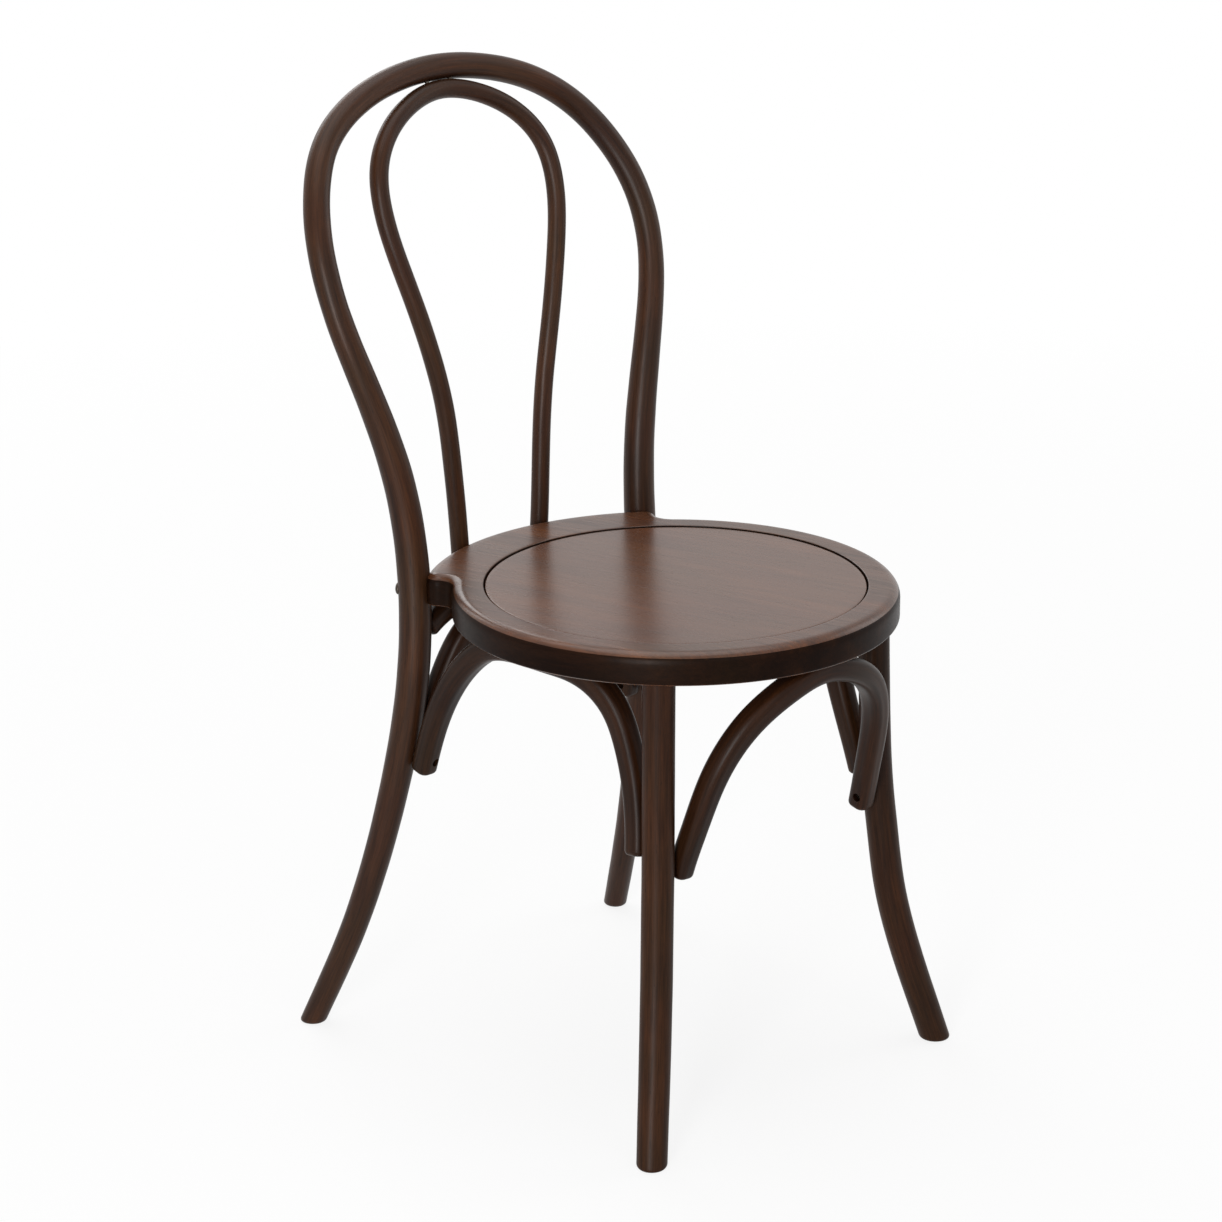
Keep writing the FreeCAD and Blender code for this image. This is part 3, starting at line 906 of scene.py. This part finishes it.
def make_seat_ring():
    """The round frame with its ears, its rebate for the panel and its opening."""
    edge, normals = whole_edge()
    angles = np.arctan2(edge[:, 1], edge[:, 0])
    circle = np.stack([np.cos(angles), np.sin(angles)], 1)
    top_round = quarter_round(SEAT_TOP_ROUNDING, EDGE_STEPS)
    low_round = quarter_round(SEAT_BOTTOM_ROUNDING, EDGE_STEPS)[::-1]
    side_low = SEAT_UNDERSIDE + SEAT_BOTTOM_ROUNDING
    side_high = SEAT_HEIGHT - SEAT_TOP_ROUNDING
    profile = [(inset, SEAT_UNDERSIDE + rise) for inset, rise in low_round]
    profile += [(0.0, side_low + (side_high - side_low) * share) for share in RING_WALL_SHARES]
    profile += [(inset, SEAT_HEIGHT - drop) for inset, drop in top_round]
    rings = [raised(edge - normals * inset, height) for inset, height in profile]
    brow = edge - normals * SEAT_TOP_ROUNDING
    lip = circle * (REBATE_RADIUS + REBATE_EDGE_ROUNDING)
    for share in RING_TOP_SHARES:
        rings.append(raised(brow * (1 - share) + lip * share, SEAT_HEIGHT))
    for drop, outset in quarter_round(REBATE_EDGE_ROUNDING, EDGE_STEPS)[::2]:
        rings.append(raised(circle * (REBATE_RADIUS + outset), SEAT_HEIGHT - drop))
    rings.append(raised(circle * REBATE_RADIUS, REBATE_FLOOR))
    rings.append(raised(circle * OPENING_RADIUS, REBATE_FLOOR))
    rings.append(raised(circle * OPENING_RADIUS, SEAT_UNDERSIDE))
    rings = np.array(rings)
    count, width = rings.shape[:2]
    faces = tube_faces(count, width)
    for k in range(width):
        a, b = (count - 1) * width + k, (count - 1) * width + (k + 1) % width
        faces.append((a, b, (k + 1) % width, k))
    obj = facing_out(mesh_object("seat_ring_frame", rings.reshape(-1, 3), faces, SEAT_CREASE))
    grain_straight(obj)
    return obj


def paint_shade_on_walls(obj, material):
    """Gives the faces that stand upright a far darker copy of the ring's wood: painted shade on the
    walls.
    """
    obj.data.materials.append(material)
    for face in obj.data.polygons:
        face.material_index = 0 if abs(face.normal.z) > PAINTED_SHADE_SLOPE else 1


def make_seat_panel():
    """The round panel in the ring's rebate."""
    turns = np.linspace(0, 2 * math.pi, PANEL_SIDES, endpoint=False)
    circle = np.stack([np.cos(turns), np.sin(turns)], 1)
    plan = [(radius, REBATE_FLOOR) for radius in PANEL_LOWER_RINGS + (PANEL_RADIUS,)]
    for inset, drop in quarter_round(PANEL_EDGE_ROUNDING, PANEL_EDGE_STEPS):
        plan.append((PANEL_RADIUS - inset, PANEL_TOP - drop))
    plan += [(radius, PANEL_TOP) for radius in PANEL_UPPER_RINGS]
    rings = np.array([raised(circle * radius, height) for radius, height in plan])
    obj = closed_tube("seat_panel_board", rings)
    grain_straight(obj)
    return obj


# Materials

def ramp(tree, factor, stops):
    """A colour ramp fed by a socket: stops are (place, colour)."""
    node = tree.nodes.new("ShaderNodeValToRGB")
    elements = node.color_ramp.elements
    while len(elements) < len(stops):
        elements.new(0.5)
    for element, (place, colour) in zip(elements, stops):
        element.position = place
        element.color = (*colour, 1.0)
    tree.links.new(factor, node.inputs["Fac"])
    return node.outputs["Color"]


def scaled(tree, vector, scale):
    node = tree.nodes.new("ShaderNodeVectorMath")
    node.operation = "MULTIPLY"
    node.inputs[1].default_value = scale
    tree.links.new(vector, node.inputs[0])
    return node.outputs[0]


def noise(tree, vector, scale, detail=4.0, roughness=0.55, distortion=0.0):
    node = tree.nodes.new("ShaderNodeTexNoise")
    node.inputs["Scale"].default_value = scale
    node.inputs["Detail"].default_value = detail
    node.inputs["Roughness"].default_value = roughness
    node.inputs["Distortion"].default_value = distortion
    tree.links.new(vector, node.inputs["Vector"])
    return node.outputs["Fac"]


def math_node(tree, operation, first, second):
    node = tree.nodes.new("ShaderNodeMath")
    node.operation = operation
    for socket, value in zip(node.inputs, (first, second)):
        if isinstance(value, (int, float)):
            socket.default_value = value
        else:
            tree.links.new(value, socket)
    return node.outputs[0]


def mix_colour(tree, factor, first, second, blend="MIX"):
    node = tree.nodes.new("ShaderNodeMix")
    node.data_type = "RGBA"
    node.blend_type = blend
    for socket, value in ((node.inputs[0], factor), (node.inputs[6], first), (node.inputs[7], second)):
        if isinstance(value, (int, float)):
            socket.default_value = value
        elif isinstance(value, tuple):
            socket.default_value = (*value, 1.0)
        else:
            tree.links.new(value, socket)
    return node.outputs[2]


def map_range(tree, value, low, high, to_low, to_high):
    node = tree.nodes.new("ShaderNodeMapRange")
    node.inputs["From Min"].default_value = low
    node.inputs["From Max"].default_value = high
    node.inputs["To Min"].default_value = to_low
    node.inputs["To Max"].default_value = to_high
    tree.links.new(value, node.inputs["Value"])
    return node.outputs["Result"]


def toned(colour, tone):
    return tuple(tone * value for value in colour)


def grain_noise(tree, board, stretch, *settings):
    """Noise drawn out along the fibres: the third board coordinate runs along them."""
    return noise(tree, scaled(tree, board, (1, 1, stretch)), *settings)


def add_bump(tree, shader, height, strength, distance):
    bump = tree.nodes.new("ShaderNodeBump")
    bump.inputs["Strength"].default_value = strength
    bump.inputs["Distance"].default_value = distance
    tree.links.new(height, bump.inputs["Height"])
    tree.links.new(bump.outputs["Normal"], shader.inputs["Normal"])


def wood(name, tone, streak=1.0, mottle=1.0, gloss=0.36, shine=0.12, relief=0.12):
    """Dark stained wood under a satin lacquer. Its grain runs along the stored board coordinates."""
    material = bpy.data.materials.new(name)
    material.use_nodes = True
    tree = material.node_tree
    shader = tree.nodes["Principled BSDF"]
    grain = tree.nodes.new("ShaderNodeAttribute")
    grain.attribute_name = "grain"
    board = grain.outputs["Vector"]
    broad = grain_noise(tree, board, *BROAD_NOISE)
    streaks = grain_noise(tree, board, *STREAK_NOISE)
    fibres = grain_noise(tree, board, *FIBRE_NOISE)
    pores = grain_noise(tree, board, *PORE_NOISE)
    cloud = noise(tree, board, *CLOUD_NOISE)

    # Stain: slow changes of tone, olive clouds, then streaks, fibres and pores
    middle = toned(STAIN_MIDDLE, tone)
    shades = (toned(STAIN_DARK, tone), middle, toned(STAIN_WARM, tone))
    stain = ramp(tree, broad, list(zip(STAIN_STOPS, shades)))
    olive_share = map_range(tree, cloud, *OLIVE_RANGE)
    stain = mix_colour(tree, olive_share, stain, toned(STAIN_OLIVE, tone))
    colour = mix_colour(tree, mottle, middle, stain)
    tint = STREAK_TINT * streak
    colour = mix_colour(tree, tint, colour, ramp(tree, streaks, STREAK_TINTS), "MULTIPLY")
    colour = mix_colour(tree, tint, colour, ramp(tree, fibres, FIBRE_TINTS), "MULTIPLY")
    pore = map_range(tree, pores, *PORE_RANGE)
    colour = mix_colour(tree, pore, colour, PORE_COLOUR)
    tree.links.new(colour, shader.inputs["Base Color"])

    # Lacquer: satin, duller in the pores
    change = STREAK_ROUGHNESS * streak
    satin = map_range(tree, streaks, *NOISE_SPAN, gloss + change, gloss - change)
    roughness = math_node(tree, "ADD", satin, math_node(tree, "MULTIPLY", pore, PORE_ROUGHNESS))
    tree.links.new(roughness, shader.inputs["Roughness"])
    shader.inputs["IOR"].default_value = LACQUER_IOR
    shader.inputs["Specular IOR Level"].default_value = shine
    height = math_node(tree, "SUBTRACT", math_node(tree, "MULTIPLY", fibres, FIBRE_HEIGHT), pore)
    add_bump(tree, shader, height, relief, RELIEF_DEPTH)
    return material


def metal(name, colour, roughness, worn):
    """Plated or bronzed steel with fine brushed marks and rubbed high spots."""
    material = bpy.data.materials.new(name)
    material.use_nodes = True
    tree = material.node_tree
    shader = tree.nodes["Principled BSDF"]
    where = tree.nodes.new("ShaderNodeTexCoord").outputs["Object"]
    marks = noise(tree, where, *MARK_NOISE)
    patches = noise(tree, where, *PATCH_NOISE)
    tone = ramp(tree, patches, list(zip(PATCH_STOPS, (colour, worn))))
    tree.links.new(tone, shader.inputs["Base Color"])
    finish = (roughness - MARK_SMOOTHER, roughness + MARK_ROUGHER)
    brushed = map_range(tree, marks, *NOISE_SPAN, *finish)
    tree.links.new(brushed, shader.inputs["Roughness"])
    shader.inputs["Metallic"].default_value = 1.0
    add_bump(tree, shader, marks, MARK_STRENGTH, MARK_DEPTH)
    return material


def dressed(obj, material, slot, *nodes):
    """Gives a piece its material and body, and hides the CAD nodes that it stands for. The slot is not
    used.
    """
    obj.data.materials.clear()
    obj.data.materials.append(material)
    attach(obj, "root")
    if nodes:
        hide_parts(*nodes)


# Stage, light and camera

def make_stage():
    """A round pale floor that keeps a faint shadow and fades into the white background."""
    turns = np.linspace(0, 2 * math.pi, FLOOR_SIDES, endpoint=False)
    circle = np.stack([np.cos(turns), np.sin(turns), np.zeros(FLOOR_SIDES)], 1)
    mesh = bpy.data.meshes.new("floor")
    mesh.from_pydata((circle * FLOOR_RADIUS).tolist(), [], [tuple(range(FLOOR_SIDES))])
    floor = bpy.data.objects.new("floor", mesh)
    bpy.context.scene.collection.objects.link(floor)
    material = bpy.data.materials.new("floor_white")
    material.use_nodes = True
    tree = material.node_tree
    shader = tree.nodes["Principled BSDF"]
    shader.inputs["Base Color"].default_value = (*FLOOR_COLOUR, 1.0)
    shader.inputs["Roughness"].default_value = FLOOR_ROUGHNESS
    shader.inputs["Specular IOR Level"].default_value = 0.0
    white = tree.nodes.new("ShaderNodeEmission")
    place = tree.nodes.new("ShaderNodeTexCoord").outputs["Object"]
    reach = tree.nodes.new("ShaderNodeVectorMath")
    reach.operation = "LENGTH"
    tree.links.new(place, reach.inputs[0])
    fade = (FLOOR_SHADOW_REACH, FLOOR_RADIUS * FLOOR_FADE_END, FLOOR_WHITENESS, 1.0)
    share = map_range(tree, reach.outputs["Value"], *fade)
    mix = tree.nodes.new("ShaderNodeMixShader")
    tree.links.new(math_node(tree, "MULTIPLY", seen_ray(tree), share), mix.inputs[0])
    tree.links.new(shader.outputs[0], mix.inputs[1])
    tree.links.new(white.outputs[0], mix.inputs[2])
    tree.links.new(mix.outputs[0], tree.nodes["Material Output"].inputs["Surface"])
    mesh.materials.append(material)


def seen_ray(tree):
    """1 for rays that show the background itself or its reflection, else 0."""
    path = tree.nodes.new("ShaderNodeLightPath")
    seen = math_node(tree, "MAXIMUM", path.outputs["Is Camera Ray"], path.outputs["Is Glossy Ray"])
    return math_node(tree, "MAXIMUM", seen, path.outputs["Is Transmission Ray"])


def make_world():
    """A sky that looks white and lights the chair less than that."""
    world = bpy.data.worlds.new("studio")
    bpy.context.scene.world = world
    world.use_nodes = True
    tree = world.node_tree
    background = tree.nodes["Background"]
    background.inputs["Color"].default_value = (1.0, 1.0, 1.0, 1.0)
    strength = map_range(tree, seen_ray(tree), 0.0, 1.0, SKY_LIGHT, 1.0)
    tree.links.new(strength, background.inputs["Strength"])


def make_lamp(name, place, size, power, target):
    data = bpy.data.lights.new(name, "AREA")
    data.shape = "RECTANGLE"
    data.size, data.size_y = size
    data.energy = power
    lamp = bpy.data.objects.new(name, data)
    lamp.location = place
    lamp.rotation_euler = (Vector(target) - Vector(place)).to_track_quat("-Z", "Y").to_euler()
    bpy.context.scene.collection.objects.link(lamp)


def make_camera():
    azimuth, elevation = math.radians(CAMERA_AZIMUTH), math.radians(CAMERA_ELEVATION)
    away = Vector((
        math.sin(azimuth) * math.cos(elevation),
        -math.cos(azimuth) * math.cos(elevation),
        math.sin(elevation),
    ))
    data = bpy.data.cameras.new("camera")
    data.lens = CAMERA_LENS
    data.sensor_width = CAMERA_SENSOR
    camera = bpy.data.objects.new("camera", data)
    turn = away.to_track_quat("Z", "Y").to_matrix()
    roll = Matrix.Rotation(math.radians(CAMERA_ROLL), 3, "Z")
    stand = Matrix.Translation(Vector(CAMERA_TARGET) + away * CAMERA_DISTANCE)
    camera.matrix_world = stand @ (turn @ roll).to_4x4()
    bpy.context.scene.collection.objects.link(camera)
    bpy.context.scene.camera = camera


# Scene

make_stage()
make_world()
for lamp in LAMPS:
    make_lamp(*lamp)
make_camera()
bpy.context.scene.view_settings.view_transform = "Standard"

# Woods and metals of the chair
rod_wood = wood("bent_rod_walnut", tone=0.68, gloss=0.37, shine=0.19)
leg_wood = wood("front_leg_walnut", tone=0.52, gloss=0.4, shine=0.12, relief=0.2)
brace_wood = wood("brace_walnut", tone=0.38, gloss=0.36, shine=0.14)
# The ring's wood and the seat edge's far darker copy of it are lit and shaded copies: painted light on
# the ring's flat faces, painted shade on its upright walls
ring_wood = wood("seat_ring_walnut", tone=1.5, mottle=0.6, gloss=0.29, shine=0.44)
painted_shade_wall_wood = wood("seat_edge_painted_shade", tone=0.2, streak=0.8, gloss=0.34, shine=0.06, relief=0.2)
panel_wood = wood(
    "seat_panel_walnut", tone=1.8, streak=0.5, mottle=0.4, gloss=0.26, shine=0.48, relief=0.06
)
dark_steel = metal("bronzed_steel", (0.05, 0.04, 0.033), 0.38, worn=(0.1, 0.085, 0.07))
zinc_steel = metal("zinc_plate", (0.45, 0.46, 0.48), 0.3, worn=(0.62, 0.63, 0.64))

# Back and seat
dressed(make_back_frame(), rod_wood, "bent_rod", "back_frame")
dressed(make_inner_hoop(), rod_wood, "bent_rod", "inner_hoop")
ring = make_seat_ring()
dressed(ring, ring_wood, "seat_wood", "seat_ring")
# The ring's upright faces get painted shade
paint_shade_on_walls(ring, painted_shade_wall_wood)
dressed(make_seat_panel(), panel_wood, "panel_wood", "seat_panel")

# Front legs and side braces
rear_line = back_line()
screw_wells = {"brace_end_screws": [], "brace_seat_screws": []}
for name, side in (("left", -1), ("right", 1)):
    leg = make_front_leg("front_leg_rod_" + name, side)
    dressed(leg, leg_wood, "leg_wood", "front_leg_" + name)
    places = [(side * x, y, z) for x, y, z in SIDE_BRACE]
    legs = (rear_line, front_leg_line(side))
    bow = "side_brace_bow_" + name
    brace = make_brace(bow, places, sideways, legs, SIDE_SCREW_SHARES, screw_wells)
    dressed(brace, brace_wood, "brace_wood", "side_brace_" + name)

# Braces from side to side: name, right half, legs, places of the seat screws, solids they stand for
front_legs = (front_leg_line(1), front_leg_line(-1))
rear_legs = (rear_line, rear_line)
cross_braces = [
    ("front_brace_bow", FRONT_BRACE, front_legs, FRONT_SCREW_SHARES, ["front_brace"]),
    ("rear_brace_bow", REAR_BRACE, rear_legs, REAR_SCREW_SHARES, ["rear_brace"]),
    ("rear_arch_bow", REAR_ARCH, rear_legs, ARCH_SCREW_SHARES, []),
]
for name, half, legs, shares, nodes in cross_braces:
    brace = make_brace(name, mirrored(half), backward, legs, shares, screw_wells)
    dressed(brace, brace_wood, "brace_wood", *nodes)

# Screws and bolts
fasteners = {name: [make_screw("screw", *well) for well in wells] for name, wells in screw_wells.items()}
fasteners["frame_bolts"] = [make_frame_bolt(rear_line, side) for side in (-1, 1)]
for name, pieces in fasteners.items():
    group = joined(name + "_bronzed", pieces)
    smooth(group)
    dressed(group, dark_steel, "dark_steel", name)
for node in ("hoop_top_screws", "hoop_foot_screws"):
    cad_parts[node].data.materials[0] = dark_steel
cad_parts["frame_bolt_nuts"].data.materials[0] = zinc_steel
